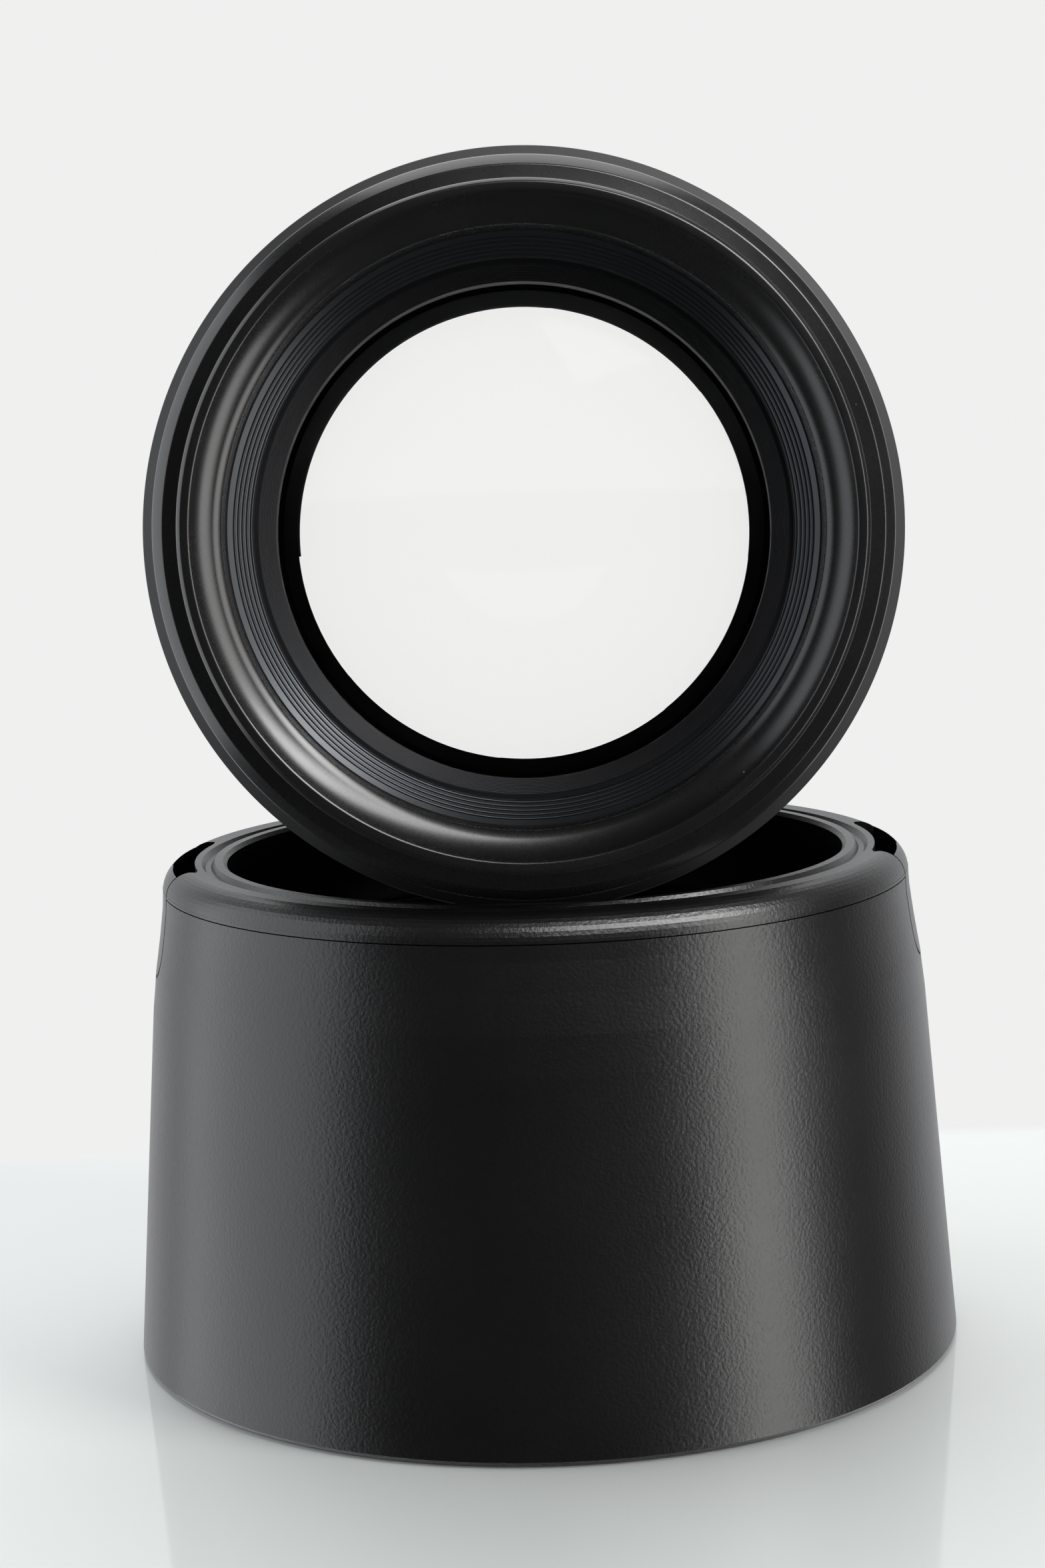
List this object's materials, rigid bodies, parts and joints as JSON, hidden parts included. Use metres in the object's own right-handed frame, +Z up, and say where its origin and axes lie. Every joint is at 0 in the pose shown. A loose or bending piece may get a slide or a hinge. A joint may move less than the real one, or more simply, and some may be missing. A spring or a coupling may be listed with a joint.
{
  "type": "prime camera lens",
  "caption": "Fast portrait prime lens with focusing ring, working iris and bayonet mount, resting across its own clip-on hood with release buttons.",
  "frame": {"origin": "centre of the hood's wide mouth, on the surface it stands on", "axes": "+Z up along the hood's axis; the lens faces -Y with its axis in the YZ plane, mount end 4.6 degrees down"},
  "size_m": [0.0888, 0.0888, 0.1257],
  "materials": {
    "hood_plastic": "fine-grained satin black moulding",
    "flocking": "short black flock",
    "spring_steel": "bright spring steel",
    "barrel_black": "satin black barrel",
    "front_black": "semi-gloss black, turned",
    "anodised_black": "black anodised, finely turned",
    "grip_rubber": "ribbed black rubber",
    "window_clear": "clear moulded pane",
    "scale_black": "black ring with plain graduations",
    "mount_steel": "turned and polished mount",
    "red_paint": "red index dot",
    "baffle_black": "deep matt black",
    "gold_contact": "gold plated",
    "board_green": "circuit board",
    "optical_glass": "polished and coated",
    "iris_steel": "blackened blade steel",
    "motor_metal": "small motor can",
    "brass_gear": "brass",
    "inner_alloy": "machined alloy",
    "motor_ring": "bronze motor ring"
  },
  "bodies": {
    "hood": {"hood_shell": "hood_plastic", "hood_lining": "flocking", "hood_mount_ring": "hood_plastic", "hood_spring_left": "spring_steel", "hood_spring_right": "spring_steel"},
    "lens": {"front_ring": "front_black", "front_retainer": "anodised_black", "front_barrel": "anodised_black", "main_barrel": "barrel_black", "scale_window": "window_clear", "switch_plate": "front_black", "rear_barrel": "barrel_black", "bayonet_mount": "mount_steel", "mount_screws": "spring_steel", "index_dot": "red_paint", "rear_baffle": "baffle_black", "contact_block": "baffle_black", "contact_pins": "gold_contact", "main_board": "board_green", "front_cell": "anodised_black", "front_spacer": "anodised_black", "lens_element_1": "optical_glass", "lens_element_2": "optical_glass", "lens_element_3": "optical_glass", "iris_base": "iris_steel", "iris_cover": "iris_steel", "aperture_motor": "motor_metal", "guide_barrel": "inner_alloy", "usm_stator": "motor_ring", "usm_rotor": "inner_alloy", "wave_spring": "spring_steel"},
    "hood_button_left_body": {"hood_button_left": "hood_plastic"},
    "hood_button_right_body": {"hood_button_right": "hood_plastic"},
    "focus_ring_body": {"focus_ring": "barrel_black", "focus_grip": "grip_rubber"},
    "cam_body": {"cam_barrel": "inner_alloy", "roller_ring": "inner_alloy", "distance_scale": "scale_black"},
    "focus_group_body": {"focus_cell": "anodised_black", "cam_followers": "brass_gear", "cell_retainer": "anodised_black", "lens_element_4": "optical_glass", "lens_element_5": "optical_glass", "lens_element_6": "optical_glass", "lens_element_7": "optical_glass", "lens_element_8": "optical_glass", "lens_element_9": "optical_glass"},
    "iris_ring_body": {"iris_drive_ring": "brass_gear"},
    "pinion_body": {"aperture_pinion": "brass_gear"},
    "switch_body": {"focus_switch": "barrel_black"},
    "blade_1_body": {"iris_blade_1": "iris_steel"},
    "blade_2_body": {"iris_blade_2": "iris_steel"},
    "blade_3_body": {"iris_blade_3": "iris_steel"},
    "blade_4_body": {"iris_blade_4": "iris_steel"},
    "blade_5_body": {"iris_blade_5": "iris_steel"},
    "blade_6_body": {"iris_blade_6": "iris_steel"},
    "blade_7_body": {"iris_blade_7": "iris_steel"},
    "blade_8_body": {"iris_blade_8": "iris_steel"}
  },
  "joints": [
    {"name": "lens_lift_off", "type": "slide", "parent": "hood", "child": "lens", "axis": [0, 0, 1], "range_m": [0, 0.1]},
    {"name": "hood_button_right_press", "type": "slide", "parent": "hood", "child": "hood_button_right_body", "axis": [-1, 0, 0], "range_m": [0, 0.001], "stiffness_N_per_m": 60, "springref_m": -0.0005, "deforming": ["hood_spring_right"]},
    {"name": "hood_button_left_press", "type": "slide", "parent": "hood", "child": "hood_button_left_body", "axis": [1, 0, 0], "range_m": [0, 0.001], "stiffness_N_per_m": 60, "springref_m": -0.0005, "deforming": ["hood_spring_left"]},
    {"name": "focus_ring_turn", "type": "hinge", "parent": "lens", "child": "focus_ring_body", "pos_m": [0, -0.01368, 0.08758], "axis": [0, 0.9968, -0.0802], "range_deg": [0, 120]},
    {"name": "focus_cam_turn", "type": "hinge", "parent": "lens", "child": "cam_body", "pos_m": [0, 0.01025, 0.08565], "axis": [0, 0.9968, -0.0802], "range_deg": [0, 60]},
    {"name": "focus_group_slide", "type": "slide", "parent": "lens", "child": "focus_group_body", "axis": [0, -0.9968, 0.0802], "range_m": [0, 0.0032]},
    {"name": "iris_ring_turn", "type": "hinge", "parent": "lens", "child": "iris_ring_body", "pos_m": [0, -0.0057, 0.08693], "axis": [0, 0.9968, -0.0802], "range_deg": [0, 17]},
    {"name": "focus_switch_slide", "type": "slide", "parent": "lens", "child": "switch_body", "axis": [0, 0.9968, -0.0802], "range_m": [0, 0.0042]},
    {"name": "iris_blade_1_swing", "type": "hinge", "parent": "lens", "child": "blade_1_body", "pos_m": [-0.026, -0.0067, 0.08701], "axis": [0, 0.9968, -0.0802], "range_deg": [0, 34]},
    {"name": "iris_blade_2_swing", "type": "hinge", "parent": "lens", "child": "blade_2_body", "pos_m": [-0.01838, -0.00522, 0.10534], "axis": [0, 0.9968, -0.0802], "range_deg": [0, 34]},
    {"name": "iris_blade_3_swing", "type": "hinge", "parent": "lens", "child": "blade_3_body", "pos_m": [0, -0.00462, 0.11293], "axis": [0, 0.9968, -0.0802], "range_deg": [0, 34]},
    {"name": "iris_blade_4_swing", "type": "hinge", "parent": "lens", "child": "blade_4_body", "pos_m": [0.01838, -0.00522, 0.10534], "axis": [0, 0.9968, -0.0802], "range_deg": [0, 34]},
    {"name": "iris_blade_5_swing", "type": "hinge", "parent": "lens", "child": "blade_5_body", "pos_m": [0.026, -0.0067, 0.08701], "axis": [0, 0.9968, -0.0802], "range_deg": [0, 34]},
    {"name": "iris_blade_6_swing", "type": "hinge", "parent": "lens", "child": "blade_6_body", "pos_m": [0.01838, -0.00817, 0.06869], "axis": [0, 0.9968, -0.0802], "range_deg": [0, 34]},
    {"name": "iris_blade_7_swing", "type": "hinge", "parent": "lens", "child": "blade_7_body", "pos_m": [0, -0.00878, 0.0611], "axis": [0, 0.9968, -0.0802], "range_deg": [0, 34]},
    {"name": "iris_blade_8_swing", "type": "hinge", "parent": "lens", "child": "blade_8_body", "pos_m": [-0.01838, -0.00817, 0.06869], "axis": [0, 0.9968, -0.0802], "range_deg": [0, 34]},
    {"name": "aperture_pinion_spin", "type": "hinge", "parent": "lens", "child": "pinion_body", "pos_m": [0.02866, -0.00574, 0.07647], "axis": [0, 0.9968, -0.0802], "range_deg": [-246, 2]}
  ],
  "couplings": [
    {"joint": "focus_cam_turn", "follows": "focus_ring_turn", "ratio": 0.5},
    {"joint": "focus_group_slide", "follows": "focus_ring_turn", "m_per_rad": 0.0015279},
    {"joint": "aperture_pinion_spin", "follows": "iris_ring_turn", "ratio": -14.25},
    {"joint": "iris_blade_1_swing", "follows": "iris_ring_turn", "ratio": 2},
    {"joint": "iris_blade_2_swing", "follows": "iris_ring_turn", "ratio": 2},
    {"joint": "iris_blade_3_swing", "follows": "iris_ring_turn", "ratio": 2},
    {"joint": "iris_blade_4_swing", "follows": "iris_ring_turn", "ratio": 2},
    {"joint": "iris_blade_5_swing", "follows": "iris_ring_turn", "ratio": 2},
    {"joint": "iris_blade_6_swing", "follows": "iris_ring_turn", "ratio": 2},
    {"joint": "iris_blade_7_swing", "follows": "iris_ring_turn", "ratio": 2},
    {"joint": "iris_blade_8_swing", "follows": "iris_ring_turn", "ratio": 2}
  ]
}
